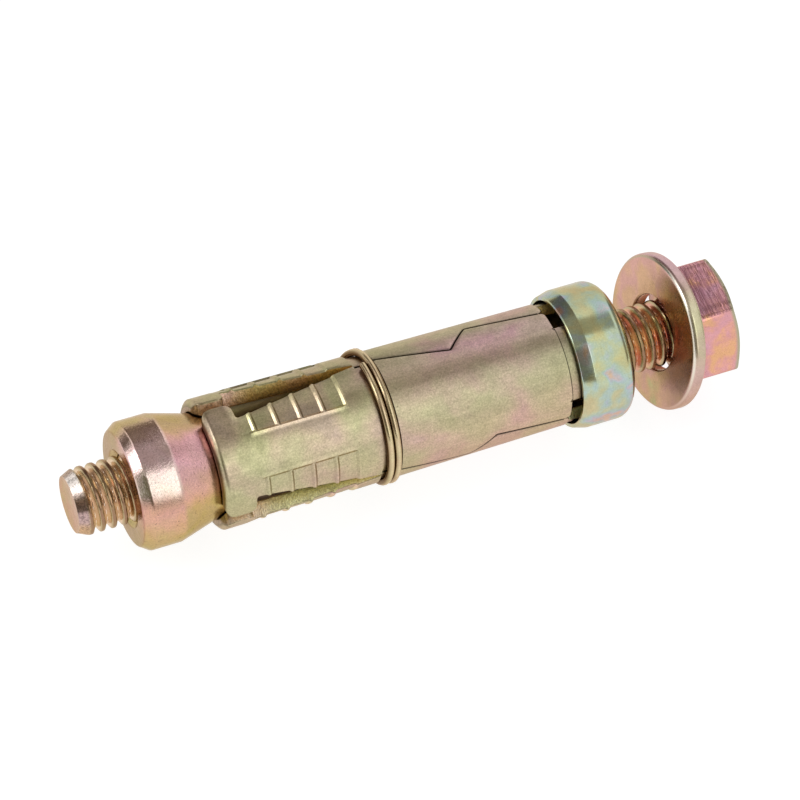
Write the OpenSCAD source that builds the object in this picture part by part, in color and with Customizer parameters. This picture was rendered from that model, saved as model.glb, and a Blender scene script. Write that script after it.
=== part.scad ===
// Shield anchor of the loose bolt type. A hexagon bolt draws a tapered nut
// into a shield of three pressed steel segments, which a wire spring and a
// cup-shaped end cap hold together. Heights in the modules run along the
// bolt, from its tip at 0 towards its head.

/* [Bolt] */
// Length of the bolt under its head
bolt_length = 56.2; // [54:0.1:62]
// Diameter over the crests of the thread
thread_d = 5.85; // [5.5:0.05:6]
// Chamfer on the bolt's tip
tip_chamfer = 0.35; // [0.2:0.05:0.5]
// Width of the hexagon head across its flats
head_flats = 10; // [9.5:0.5:11]
// Height of the hexagon head
head_height = 4.15; // [3.5:0.05:4.5]
// Diameter of the flat end of the head, inside its chamfer
head_end_d = 9.4; // [8.8:0.1:9.6]
// Angle of one corner of the head above the horizontal, in degrees
head_angle = 45.4; // [30:0.2:60]

/* [Washer] */
// Outer diameter of the washer
washer_d = 14; // [13.4:0.1:14.6]
// Diameter of the washer's hole
washer_hole_d = 6.8; // [6.7:0.05:7.2]
// Thickness of the washer
washer_t = 1.2; // [1:0.05:1.4]
// Rounding of the washer's rim
washer_round = 0.3; // [0.1:0.05:0.4]
// How far the loose washer leans back at its top, in degrees
washer_lean = 9; // [7:0.5:10]
// How far the loose washer turns to one side, in degrees
washer_turn = 4; // [0:0.5:6]
// How far the washer hangs above the bolt's axis
washer_lift = 0.2; // [0:0.05:0.25]
// How far the washer lies to one side of the bolt's axis
washer_side = 0.08; // [0:0.01:0.1]

/* [Expander nut] */
// Distance from the bolt's tip to the nut's face
nut_start = 4.8; // [4:0.1:5.5]
// Diameter of the nut's cylinder
nut_d = 11.3; // [11:0.1:11.5]
// Length of the nut's cylinder, chamfer included
nut_rim = 3.5; // [3:0.1:4]
// Length of the nut's chamfer along the bolt
nut_chamfer = 0.85; // [0.5:0.05:1]
// Depth of the nut's chamfer across the bolt
nut_chamfer_depth = 0.6; // [0.4:0.05:0.8]
// Half angle of the nut's cone, in degrees
cone_angle = 15.8; // [15:0.2:17]
// Diameter at the small end of the nut's cone
cone_end_d = 7.2; // [7:0.1:7.6]
// Diameter of the countersink round the thread
countersink_d = 7; // [6.6:0.1:7.6]

/* [Shield] */
// Distance from the nut's face to the front end of the segments
shield_start = 7.1; // [6.9:0.05:7.3]
// Length of the segments, tongue included
shield_length = 36.7; // [36:0.1:37.4]
// Outer diameter at the front end
front_d = 11.5; // [11.3:0.05:11.7]
// Outer diameter at the shoulder in front of the end cap
rear_d = 10.85; // [10.6:0.05:11]
// Thickness of the pressed segments
sheet_t = 1.4; // [1.2:0.05:1.5]
// Running gap between the nut's cone and the front lip
cone_gap = 0.1; // [0.05:0.05:0.2]
// Height of the lip's flat front face
lip_flat = 0.55; // [0.4:0.05:0.6]
// Length of the bevel on the lip's outer edge
lip_bevel = 0.35; // [0.2:0.05:0.4]
// Gap between two segments along their closed seam
seam_gap = 0.08; // [0.06:0.01:0.12]
// Angle of the near segment's middle above the horizontal, in degrees
near_angle = 40.4; // [30:0.2:50]

/* [Slots and ears] */
// Distance from the front end to the back of the ears
ear_length = 2.8; // [2.5:0.1:3]
// Gap between two ears
ear_gap = 1; // [0.7:0.1:1.2]
// Rounding of the ears' front corners
ear_front_round = 1.1; // [0.8:0.1:1.2]
// Rounding of the ears' back corners
ear_back_round = 0.7; // [0.5:0.1:0.9]
// Width of the slot just behind the ears
slot_w = 4.4; // [4:0.1:4.8]

/* [Grip teeth] */
// Distance from the front end to the first tooth
tooth_start = 3.65; // [3.4:0.05:3.9]
// Distance from one tooth to the next
tooth_pitch = 2.07; // [2:0.01:2.1]
// Number of teeth in a row
tooth_count = 5; // [4:1:5]
// Height of a tooth
tooth_depth = 0.2; // [0.1:0.02:0.26]
// Length of a tooth's steep flank
tooth_flank = 0.22; // [0.15:0.01:0.3]
// Width of the plain band between the two rows of teeth
plain_band = 4; // [3.6:0.1:4.6]

/* [Ring groove and spring] */
// Distance from the front end to the groove
groove_start = 14.25; // [14.1:0.05:14.6]
// Width of the groove
groove_w = 1.8; // [1.7:0.05:1.9]
// Depth of the groove below the shield's surface
groove_depth = 0.27; // [0.2:0.01:0.35]
// Diameter of the spring's wire
wire_d = 0.64; // [0.6:0.01:0.68]
// Gap between the groove's floor and the spring
wire_gap = 0.03; // [0.02:0.01:0.06]
// Gap between the spring and the groove's wall on the head's side
wire_side_gap = 0.12; // [0.08:0.01:0.2]
// Angle that the spring's wire winds through, in degrees
wire_angle = 690; // [600:10:700]

/* [Interlocking seam] */
// Distance from the front end to the start of the seam's jog
jog_start = 22.7; // [22:0.1:23.2]
// Length of the jog along the bolt
jog_length = 2.2; // [2:0.1:2.6]
// Sideways swing of the seam before the jog
swing_front = 1.45; // [1:0.05:1.6]
// Sideways swing of the seam behind the jog
swing_rear = 0.9; // [0.6:0.05:1.1]
// Distance from the front end to the shoulder
shoulder = 32; // [31.7:0.1:32.2]
// Width of the notch between two tongues
notch_w = 4.3; // [3.8:0.1:4.6]
// Step from the shoulder down to the tongue
tongue_step = 0.28; // [0.2:0.02:0.34]
// Rounding of the shoulder's corners
shoulder_round = 0.5; // [0.3:0.05:0.7]

/* [End cap] */
// Distance from the front end of the segments to the cap's rim
cap_start = 32.85; // [32.7:0.05:33]
// Length of the cap
cap_length = 5.15; // [5:0.05:5.4]
// Diameter of the cap's cylinder
cap_d = 12.42; // [12.2:0.02:12.6]
// Diameter over the cap's rim
cap_rim_d = 11.8; // [11.6:0.05:11.9]
// Length of the flare behind the rim
cap_flare = 1.15; // [0.9:0.05:1.3]
// Rounding between the cap's side and its end
cap_round = 1.2; // [0.9:0.05:1.3]
// Wall of the cap
cap_wall = 0.7; // [0.5:0.02:0.8]
// Thickness of the cap's end
cap_end_t = 0.9; // [0.7:0.05:1]
// Diameter of the hole in the cap's end
cap_hole_d = 6.6; // [6.4:0.1:7]

/* [Fits] */
// Radial running gap between the thread and the nut
thread_gap = 0.05; // [0.03:0.01:0.08]
// Gap between the head and the washer where it leans on the head
seat_gap = 0.03; // [0.02:0.01:0.08]

/* [Hidden] */
$fn = 96;

zinc_yellow = "#b5ab78";
zinc_pink = "#c89a8c";
zinc_green = "#b3b98c";
wire_brown = "#8f8878";

// Origin at the middle of the length with a standard head, and height of the axis above the floor
standard_head_height = 4;
origin_at = (bolt_length + standard_head_height) / 2;
washer_drop = (washer_d / 2 - washer_round) * cos(washer_lean)
    + (washer_t / 2 - washer_round) * sin(washer_lean) + washer_round;
axis_height = washer_drop - washer_lift;

// Head
head_corner_r = head_flats / sqrt(3);
head_chamfer_angle = 30;
head_chamfer_h = (head_corner_r - head_end_d / 2) * tan(head_chamfer_angle);

// Washer: its highest point of contact touches the head
washer_mid = bolt_length - seat_gap - head_corner_r * tan(washer_lean)
    - washer_t / 2 / cos(washer_lean) / cos(washer_turn)
    - washer_lift * tan(washer_lean);

// Nut
cone_start = nut_start + nut_rim;
cone_length = (nut_d - cone_end_d) / 2 / tan(cone_angle);
nut_end = cone_start + cone_length;
nut_bore_r = thread_d / 2 + thread_gap;

// Shield, all distances from the bolt's tip
front = nut_start + shield_start;
rear = front + shield_length;
shoulder_at = front + shoulder;
groove_at = front + groove_start;
taper = (front_d - rear_d) / 2 / shoulder;
inner_r = shield_r(groove_at) - sheet_t;
lip_inner_r = cone_r(front) + cone_gap;
lip_inner_length = (lip_inner_r - inner_r) / tan(cone_angle);
tongue_r = rear_d / 2 - tongue_step;
segment_turn = 120;
near_turn = -90 - near_angle;
sector = 80;
oversize = 1;
clear_r = front_d;

// Grip teeth
teeth_at = front + tooth_start;
band_angle = asin(plain_band / front_d);

// Spring
wire_r = wire_d / 2;
wire_pitch = wire_d + wire_gap / 2;
coil_r = shield_r(groove_at) - groove_depth + wire_gap + wire_r;
coil_at = groove_at + groove_w - wire_side_gap - wire_r - wire_pitch;
coil_steps = 120;
wire_start = -55;
wire_step_at = 290;
wire_step_angle = 55;
wire_sides = 10;

// End cap
cap_at = front + cap_start;
cap_end_at = cap_at + cap_length;

function shield_r(height) = front_d / 2 - taper * (height - front);
function cone_r(height) = nut_d / 2 - (height - cone_start) * tan(cone_angle);

// Places a piece drawn along +Z on the anchor's axis
module along_axis() {
    translate([-origin_at, 0, axis_height])
        rotate([0, 90, 0])
            children();
}

module bolt() {
    color(zinc_pink) along_axis() {
        rotate_extrude()
            polygon([
                [0, 0],
                [thread_d / 2 - tip_chamfer, 0],
                [thread_d / 2, tip_chamfer],
                [thread_d / 2, bolt_length + head_height / 2],
                [0, bolt_length + head_height / 2]
            ]);
        translate([0, 0, bolt_length])
            rotate([0, 0, -90 - head_angle])
                hexagon_head();
    }
}

// Hexagon with its outer corners turned down to a cone
module hexagon_head() {
    intersection() {
        cylinder(h = head_height, r = head_corner_r, $fn = 6);
        rotate_extrude()
            polygon([
                [0, 0],
                [head_corner_r, 0],
                [head_corner_r, head_height - head_chamfer_h],
                [head_end_d / 2, head_height],
                [0, head_height]
            ]);
    }
}

// Flat ring with rounded rims, leaning on the head
module washer() {
    color(zinc_pink)
        translate([washer_mid - origin_at, -washer_side, axis_height + washer_lift])
            rotate([0, 90 + washer_lean, washer_turn])
                translate([0, 0, -washer_t / 2])
                    rotate_extrude()
                        washer_section();
}

module washer_section() {
    hole_r = washer_hole_d / 2;
    rim_r = washer_d / 2;
    translate([hole_r + washer_round, 0])
        square([rim_r - hole_r - 2 * washer_round, washer_t]);
    translate([hole_r, washer_round])
        square([rim_r - hole_r, washer_t - 2 * washer_round]);
    for (x = [hole_r + washer_round, rim_r - washer_round])
        for (y = [washer_round, washer_t - washer_round])
            translate([x, y])
                circle(washer_round);
}

module expander_nut() {
    face_r = nut_d / 2 - nut_chamfer_depth;
    sink_r = countersink_d / 2;
    color(zinc_pink) along_axis()
        rotate_extrude()
            polygon([
                [nut_bore_r, nut_start + sink_r - nut_bore_r],
                [sink_r, nut_start],
                [face_r, nut_start],
                [nut_d / 2, nut_start + nut_chamfer],
                [nut_d / 2, cone_start],
                [cone_end_d / 2, nut_end],
                [nut_bore_r, nut_end]
            ]);
}

// Section of a segment through the bolt's axis
module segment_section() {
    lip_r = lip_inner_r + lip_flat;
    groove_end = groove_at + groove_w;
    polygon([
        [lip_inner_r, front],
        [lip_r, front],
        [shield_r(front + lip_bevel), front + lip_bevel],
        [shield_r(groove_at), groove_at],
        [shield_r(groove_at) - groove_depth, groove_at],
        [shield_r(groove_at) - groove_depth, groove_end],
        [shield_r(groove_end), groove_end],
        [rear_d / 2, shoulder_at],
        [tongue_r, shoulder_at],
        [tongue_r, rear],
        [inner_r, rear],
        [inner_r, front + lip_inner_length]
    ]);
}

// Row of saw teeth that face the front end, as the part that is cut away
module teeth_cut_section() {
    polygon(concat(
        [[clear_r, teeth_at + tooth_flank - tooth_pitch]],
        [for (i = [-1 : tooth_count - 1])
            let (top = teeth_at + tooth_pitch * i + tooth_flank,
                 foot = teeth_at + tooth_pitch * (i + 1))
            each (i < tooth_count - 1
                ? [[shield_r(top), top], [shield_r(foot) - tooth_depth, foot]]
                : [[shield_r(top), top]])],
        [[clear_r, teeth_at + tooth_pitch * (tooth_count - 1) + tooth_flank]]
    ));
}

// Centre line of the closed seam, as [sideways, height] points; the seam
// swings to one side, jogs back and returns, so that neighbours interlock
function seam_line() = [
    [0, groove_at - groove_w],
    [0, groove_at + groove_w],
    [swing_front, front + jog_start],
    [-swing_rear, front + jog_start + jog_length],
    [0, shoulder_at + shoulder_round],
    [0, rear + cap_length]
];

// Opening between two neighbours: ear gap, tapered slot and the notch at
// the shoulder, flat, symmetrical about the seam
module opening_shape() {
    slot_at = front + ear_length;
    gap = ear_gap / 2;
    translate([-gap, front - ear_length])
        square([ear_gap, 2 * ear_length + ear_back_round]);
    polygon([
        [-slot_w / 2, slot_at],
        [slot_w / 2, slot_at],
        [seam_gap, groove_at],
        [-seam_gap, groove_at]
    ]);
    for (side = [-1, 1]) {
        corner_cut(side, gap, front, ear_front_round, -1);
        corner_cut(side, gap, slot_at, ear_back_round, 1);
        shoulder_notch(side);
    }
}

// Material that rounds off a corner at [side * x, y]; the solid lies below
// the corner for way = 1 and above it for way = -1
module corner_cut(side, x, y, r, way) {
    inset = (r - seam_gap) / 2;
    difference() {
        translate([side * (x + inset), y - way * inset])
            square(r + seam_gap, center = true);
        translate([side * (x + r), y - way * r])
            circle(r);
    }
}

// Cut beside the tongue, with a rounded corner on the seam
module shoulder_notch(side) {
    notch_at = shoulder_at - shoulder_round;
    half = notch_w / 2;
    difference() {
        translate([side > 0 ? 0 : -half, notch_at])
            square([half, rear - notch_at + cap_length]);
        translate([side > 0 ? shoulder_round : -half - shoulder_round, notch_at - shoulder_round])
            square([half, 2 * shoulder_round]);
        translate([side * shoulder_round, notch_at])
            circle(shoulder_round);
    }
}

// Everything beyond a segment's edge, flat; side is 1 for the edge at the
// larger angle and -1 for the other
module beyond_edge(side) {
    shift = -side * seam_gap / 2;
    line = [for (p = seam_line()) [p[0] + shift, p[1]]];
    far = side * front_d;
    polygon(concat(
        [[far, front - ear_length], [shift, front - ear_length]],
        line,
        [[far, rear + cap_length]]
    ));
    opening_shape();
}

// Flat shape in [sideways, height], swept outwards at an angle round the bolt
module swept_outwards(angle) {
    rotate([0, 0, angle])
        translate([nut_bore_r, 0, 0])
            rotate([90, 0, 90])
                linear_extrude(clear_r)
                    children();
}

module round_sector(from, to) {
    rotate([0, 0, from])
        rotate_extrude(angle = to - from)
            children();
}

// Wide blank of a segment, its middle at angle 0, with its two rows of teeth
module toothed_blank() {
    difference() {
        round_sector(-sector, sector) segment_section();
        round_sector(band_angle, sector + oversize) teeth_cut_section();
        round_sector(-sector - oversize, -band_angle) teeth_cut_section();
    }
}

// One pressed segment, its middle at angle 0
module segment() {
    half_turn = segment_turn / 2;
    difference() {
        toothed_blank();
        swept_outwards(half_turn) beyond_edge(1);
        swept_outwards(-half_turn) beyond_edge(-1);
    }
}

module placed_segment(index) {
    along_axis()
        rotate([0, 0, near_turn + segment_turn * index])
            segment();
}

module segment_near() {
    color(zinc_yellow) placed_segment(0);
}

module segment_far() {
    color(zinc_yellow) placed_segment(-1);
}

module segment_under() {
    color(zinc_yellow) placed_segment(1);
}

// Wire wound twice round the shield with its turns side by side: it starts
// beside a seam, and steps across to the second turn before it meets its end
function coil_point(i) =
    let (angle = wire_angle * i / coil_steps,
         step = min(1, max(0, (angle - wire_step_at) / wire_step_angle)),
         across = step * step * (3 - 2 * step))
    [coil_r, near_turn + wire_start + angle, coil_at + wire_pitch * across];

function wire_ring(i) =
    let (p = coil_point(i))
    [for (k = [0 : wire_sides - 1])
        let (a = 360 * k / wire_sides, r = p[0] + wire_r * cos(a))
        [r * cos(p[1]), r * sin(p[1]), p[2] + wire_r * sin(a)]];

module spring_ring() {
    points = [for (i = [0 : coil_steps]) each wire_ring(i)];
    sides = [for (i = [0 : coil_steps - 1], k = [0 : wire_sides - 1])
        let (a = i * wire_sides + k,
             b = i * wire_sides + (k + 1) % wire_sides)
        [a, b, b + wire_sides, a + wire_sides]];
    start_cap = [for (k = [wire_sides - 1 : -1 : 0]) k];
    end_cap = [for (k = [0 : wire_sides - 1]) coil_steps * wire_sides + k];
    color(wire_brown) along_axis()
        polyhedron(points = points, faces = concat([start_cap], sides, [end_cap]));
}

// Cup over the segments' tongues, with a flared rim and a hole for the bolt
module end_cap() {
    color(zinc_green) along_axis()
        rotate_extrude()
            difference() {
                end_cap_outline();
                end_cap_inside();
            }
}

module end_cap_outline() {
    cap_r = cap_d / 2;
    corner_at = cap_end_at - cap_round;
    polygon([
        [0, cap_at],
        [cap_rim_d / 2, cap_at],
        [cap_r, cap_at + cap_flare],
        [cap_r, corner_at],
        [0, corner_at]
    ]);
    translate([0, corner_at])
        square([cap_r - cap_round, cap_round]);
    intersection() {
        translate([cap_r - cap_round, corner_at])
            circle(cap_round);
        translate([cap_r - cap_round, corner_at])
            square(cap_round);
    }
}

module end_cap_inside() {
    rim_in = cap_rim_d / 2 - cap_wall / 2;
    deep_in = cap_d / 2 - cap_wall;
    floor_at = cap_end_at - cap_end_t;
    corner = cap_round - cap_wall;
    polygon([
        [0, cap_at - cap_wall],
        [rim_in, cap_at - cap_wall],
        [rim_in, cap_at],
        [deep_in, cap_at + cap_flare],
        [deep_in, floor_at - corner],
        [deep_in - corner, floor_at],
        [cap_hole_d / 2, floor_at],
        [cap_hole_d / 2, cap_end_at + cap_wall],
        [0, cap_end_at + cap_wall]
    ]);
}

bolt();
washer();
expander_nut();
segment_near();
segment_far();
segment_under();
spring_ring();
end_cap();
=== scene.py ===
"""Looks of the shield anchor: dressed pieces, finishes, floor, light and camera."""
import math

import bmesh
import bpy
import numpy as np
from mathutils import Matrix, Vector
from mathutils.geometry import delaunay_2d_cdt


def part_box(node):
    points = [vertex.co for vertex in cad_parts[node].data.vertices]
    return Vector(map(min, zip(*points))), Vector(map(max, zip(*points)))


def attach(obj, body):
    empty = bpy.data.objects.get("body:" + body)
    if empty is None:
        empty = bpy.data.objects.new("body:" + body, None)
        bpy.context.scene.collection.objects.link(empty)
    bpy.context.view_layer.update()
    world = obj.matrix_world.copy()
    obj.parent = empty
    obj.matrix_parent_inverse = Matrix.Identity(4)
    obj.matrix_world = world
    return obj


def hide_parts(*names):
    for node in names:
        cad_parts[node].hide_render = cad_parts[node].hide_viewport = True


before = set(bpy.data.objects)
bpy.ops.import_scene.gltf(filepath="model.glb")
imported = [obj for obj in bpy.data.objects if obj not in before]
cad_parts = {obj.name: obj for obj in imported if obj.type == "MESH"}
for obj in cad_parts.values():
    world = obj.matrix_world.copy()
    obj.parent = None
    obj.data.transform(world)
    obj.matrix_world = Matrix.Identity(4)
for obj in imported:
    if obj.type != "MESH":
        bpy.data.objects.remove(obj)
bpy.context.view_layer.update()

MM = 0.001

# Frame of the anchor: stations run along the bolt from its tip, in millimetres,
# and angles round it start at the side that shows and rise over its top
cap_low, cap_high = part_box("end_cap")
bolt_low, bolt_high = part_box("bolt")
TIP_X = bolt_low.x
AXIS_Z = (cap_low.z + cap_high.z) / 2
ROUND_STEPS = 192
ROUND_ANGLES = np.arange(ROUND_STEPS) * 360 / ROUND_STEPS
SEGMENT_TURN = 120
MIDDLES = {"segment_near": 40.4, "segment_far": 160.4, "segment_under": 280.4}


def stations(node):
    """First and last station of a node, and its largest radius."""
    low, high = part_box(node)
    return (low.x - TIP_X) / MM, (high.x - TIP_X) / MM, (high.z - low.z) / 2 / MM


BOLT_END = stations("bolt")[1]
NUT_START, NUT_END, NUT_R = stations("expander_nut")
SHIELD_START, SHIELD_END = stations("segment_near")[:2]
CAP_START, CAP_END, CAP_R = stations("end_cap")
RING_START = stations("spring_ring")[0]

# Bolt
CREST_R = 2.925
PITCH = 1.0
THREAD_DEPTH = 0.52
THREAD_PHASE = 0.02
CREST_SHARE = 0.15
ROOT_SHARE = 0.05
TIP_R = 2.5
LEAD_LENGTH = 0.95
TIP_DISH = 0.12
TIP_RINGS = (0.12, 0.35, 0.6, 0.8, 0.95)
HEAD_HEIGHT = 4.15
HEAD_APOTHEM = 5.0
HEAD_CORNER = 45.4
HEAD_CORNER_ROUND = 0.6
HEAD_END_R = 4.7
HEAD_TURNED_DOWN = math.tan(math.radians(26))
HEAD_BAND = 0.4
HATCHED_ANGLE = 61
NECK = BOLT_END - HEAD_HEIGHT

# Expander nut
NUT_CYLINDER_END = NUT_START + 3.5

# Shield segments: lengths run from their front end, and a pair holds a value for the upper
# and one for the lower row of windows. A shade is painted shade, or a painted highlight below zero
FRONT_R = 5.75
REAR_R = 5.425
SHEET = 1.4
EDGE_ROUND = 0.11
LIP_R = 4.74
LIP_FLAT = 0.54
LIP_BEVEL = 0.4
LIP_CURVE = 1.6
CONE = math.tan(math.radians(15.8))
SEAM_GAP = 0.12
EAR_LENGTH = 2.8
EAR_HALF_GAP = 0.5
EAR_FRONT_ROUND = 1.1
EAR_BACK_ROUND = 0.7
SLOT_HALF = 2.2
GROOVE_AT = 14.25
GROOVE_W = 1.8
GROOVE_DEPTH = 0.27
GROOVE_WALL = 0.03
TEETH_AT = 3.65
TOOTH_PITCH = 2.07
TOOTH_COUNT = 5
WINDOW_DEPTH = 0.17
FIRST_DEPTH = 0.1275
RAMP = 1.4
RIDGE_WALL = 0.19
RIDGE_TOP = 0.14
BAND_HALF = 2.05
BURR_RISE = (0.085, 0.05)
BURR_EDGE = 0.05
BURR_WIDTH = 0.27
# Painted highlight on the upper row's burrs
BURR_SHADE = (-0.4, 0.0)
WALL_HALF = 0.09
# Painted highlights on the upper row's ridges, painted shade lines on the lower row and the ridge backs
WALL_SHADE = (-0.5, 0.12)
TOP_SHADE = (-0.45, -0.05)
BACK_SHADE = (0.35, 0.25)
# Painted shade in the closed seam, on the inner surface and inside the lip, spread over the edge strips
SEAM_SHADE = 0.9
INNER_SHADE = 0.5
LIP_SHADE = 0.5
EDGE_SHARES = (0.25, 0.7, 1, 1, 1, 1, 1)
SHEARED = (3, 4, 5)
JOG_AT = 22.7
JOG_LENGTH = 2.2
SWING_FRONT = 1.45
SWING_REAR = 0.9
SHOULDER_AT = 32.0
SHOULDER_ROUND = 0.5
NOTCH_HALF = 2.15
TONGUE_STEP = 0.16
TONGUE_WALL = 0.01
TONGUE_LINE = 0.14
# Painted shadow along the shoulder on the tongue, and fainter painted shade over the rest of it
TONGUE_LINE_SHADE = 0.8
TONGUE_SHADE = 0.1
FLAT_R = 5.6
GRID_SPACING = 0.3
GRID_STEPS = 24
GRID_CLEARANCE = 0.1
GRID_MARGIN = 0.12
OUTLINE_SPACING = 0.22
OUTLINE_CLEARANCE = 0.06
SHORTEST_EDGE = 0.015
LONG_EDGE = 0.5

# Spring: the angles are degrees that the wire has turned by
WIRE_R = 0.32
WIRE_CLEARANCE = 0.03
WIRE_SIDES = 20
WIRE_PITCH = 0.655
WIRE_START = 95.4
WIRE_ANGLE = 690
WIRE_STEP_AT = 290
WIRE_STEP_ANGLE = 55
WIRE_OVERLAP = 7.5
WIRE_THINNED = 0.08
WIRE_SPACING = 1.5
WIRE_DOME = 0.9
WIRE_TIP = 0.05

# Washer
WASHER_T = 1.2
WASHER_HOLE_R = 3.4
WASHER_R = 6.985
WASHER_LEAN = 9
WASHER_TURN = 4
WASHER_EDGE = 0.3
WASHER_RIM_END = 0.22
WASHER_SIDE_START = 0.15

# Light
FILL_LIGHT = 0.5
FLOOR_HALF = 3.0
FLOOR_PLAIN = 0.8
FLOOR_DIMMED = 0.35
FLOOR_GLOW = 0.87
# Lamps: distance from the axis, angle round it, X, size, X that they face, brightness
SOFTBOXES = {
    "front_softbox": (0.32, 31, 0.062, (0.056, 0.33), 0.062, 0.95),
    "left_softbox": (0.36, 97, -0.4, (0.2, 0.26), -0.025, 2.8),
}
# Dark cards: distance from the axis, first and last angle round it, first and last X, colour
CARDS = {
    "nut_card": (0.26, (59, 112), (-0.14, 0.066), (0.36, 0.33, 0.31, 1)),
    "top_card": (0.265, (73, 103), (0.064, 0.2), (0.42, 0.4, 0.36, 1)),
    "back_card": (0.27, (108, 164), (-0.085, 0.08), (0.22, 0.19, 0.17, 1)),
    "shoulder_card": (0.27, (130, 164), (-0.36, -0.15), (0.18, 0.16, 0.14, 1)),
    "left_card": (0.3, (-1, 76), (-0.6, -0.22), (0.16, 0.15, 0.1, 1)),
    "bevel_card": (0.3, (-1, 58), (-0.22, -0.02), (0.22, 0.2, 0.16, 1)),
    "right_card": (0.3, (-1, 170), (0.36, 0.9), (0.3, 0.26, 0.22, 1)),
    "edge_card": (0.28, (-1, 4), (-0.03, 0.07), (0.2, 0.18, 0.16, 1)),
}


def srgb(red, green, blue):
    """Linear colour of a screen colour given in 0 to 255."""
    parts = [c / 255 for c in (red, green, blue)]
    return tuple(c / 12.92 if c <= 0.04045 else ((c + 0.055) / 1.055) ** 2.4 for c in parts) + (1.0,)


def grey(level):
    return (level, level, level, 1)


def linear(colour):
    """Colour for a node: from a grey level, a screen colour of three parts, or as it is."""
    if not hasattr(colour, "__len__"):
        return grey(colour)
    return srgb(*colour) if len(colour) == 3 else colour


def smoothstep(low, high, x):
    """Rises smoothly from 0 at one value to 1 at another."""
    t = np.clip((x - low) / (high - low), 0, 1)
    return t * t * (3 - 2 * t)


def place(station, radius, angle):
    """Points in the part's frame, in metres, from stations, radii and angles in degrees."""
    a = np.radians(angle)
    station, radius, a = np.broadcast_arrays(station, radius, a)
    return np.stack([
        TIP_X + station * MM,
        -radius * np.cos(a) * MM,
        AXIS_Z + radius * np.sin(a) * MM,
    ], -1)


def x_at(station):
    """X of a station in millimetres, as a material sees it."""
    return TIP_X / MM + station


def cleared_nodes(holder):
    """Empty node tree of a material or a world."""
    holder.use_nodes = True
    holder.node_tree.nodes.clear()
    return holder.node_tree


def add_node(tree, kind, inputs=(), **settings):
    """New node with settings, and a value or another node's output for each input named."""
    node = tree.nodes.new("ShaderNode" + kind)
    for name, value in settings.items():
        setattr(node, name, value)
    for name, value in dict(inputs).items():
        if isinstance(value, bpy.types.NodeSocket):
            tree.links.new(value, node.inputs[name])
        else:
            node.inputs[name].default_value = value
    return node


# Finishes

class Shader:
    """A metal material that is built up node by node, in millimetres."""

    def __init__(self, name):
        self.material = bpy.data.materials.new(name)
        self.tree = cleared_nodes(self.material)
        self.space = self.add("TexCoord").outputs["Object"]
        self.space = self.stretched((1 / MM,) * 3)
        self.normal = None

    def add(self, kind, inputs=(), **settings):
        return add_node(self.tree, kind, inputs, **settings)

    def stretched(self, scale):
        return self.add("Mapping", {"Vector": self.space, "Scale": scale}).outputs["Vector"]

    def noise(self, scale, detail=3.0, rough=0.5, distortion=0.0, vector=None):
        inputs = {"Vector": vector or self.space, "Scale": scale, "Detail": detail,
                  "Roughness": rough, "Distortion": distortion}
        return self.add("TexNoise", inputs).outputs["Fac"]

    def ramp(self, factor, stops, smooth=True):
        """Colours or grey levels at shares of a factor."""
        node = self.add("ValToRGB", {"Fac": factor})
        node.color_ramp.interpolation = "B_SPLINE" if smooth else "LINEAR"
        elements = node.color_ramp.elements
        while len(elements) < len(stops):
            elements.new(0.5)
        for element, (at, colour) in zip(elements, stops):
            element.position = at
            element.color = linear(colour)
        return node.outputs["Color"]

    def level(self, factor, low, high, to_low=0.0, to_high=1.0):
        """Factor between two values brought to between two others."""
        inputs = {"From Min": low, "From Max": high, "To Min": to_low, "To Max": to_high}
        return self.add("MapRange", {"Value": factor, **inputs}).outputs["Result"]

    def math(self, kind, a, b):
        return self.add("Math", {0: a, 1: b}, operation=kind).outputs[0]

    def mix(self, factor, a, b, kind="MIX"):
        """Mix of two colours, which are inputs 6 and 7 and output 2 of the node."""
        inputs = {0: factor, 6: a, 7: b}
        return self.add("Mix", inputs, data_type="RGBA", blend_type=kind).outputs[2]

    def times(self, a, b):
        return self.mix(1.0, a, b, "MULTIPLY")

    def along(self, axis):
        return self.add("SeparateXYZ", {"Vector": self.space}).outputs[axis]

    def past(self, *between):
        """Level of the X in millimetres."""
        return self.level(self.along("X"), *between)

    def around(self):
        """Angle round the axis in degrees, from the side that shows up over the top."""
        up = self.math("SUBTRACT", self.along("Z"), AXIS_Z / MM)
        out = self.math("MULTIPLY", self.along("Y"), -1.0)
        return self.math("MULTIPLY", self.math("ARCTAN2", up, out), 180 / math.pi)

    def banded(self, stops, wander):
        """Colours at angles round the axis, their borders wandering by some degrees."""
        low, high = -60, 180
        drift = self.level(self.noise(0.32, detail=3, rough=0.5), 0.2, 0.8, -wander, wander)
        share = self.level(self.math("ADD", self.around(), drift), low, high)
        return self.ramp(share, [((at - low) / (high - low), colour) for at, colour in stops])

    def attribute(self, name):
        return self.add("Attribute", attribute_name=name).outputs["Fac"]

    def bump(self, height, depth):
        """Adds relief of the given depth in millimetres."""
        inputs = {"Height": height, "Distance": depth * MM, "Strength": 1.0}
        if self.normal:
            inputs["Normal"] = self.normal
        self.normal = self.add("Bump", inputs).outputs["Normal"]

    def finish(self, colour, roughness):
        """The finished material, a metal with this colour and roughness and the relief so far."""
        inputs = {"Base Color": colour, "Roughness": roughness, "Normal": self.normal,
                  "Metallic": 1.0, "Specular Tint": EDGE_TINT}
        metal = self.add("BsdfPrincipled", inputs)
        self.add("OutputMaterial", {"Surface": metal.outputs["BSDF"]})
        return self.material


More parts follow.
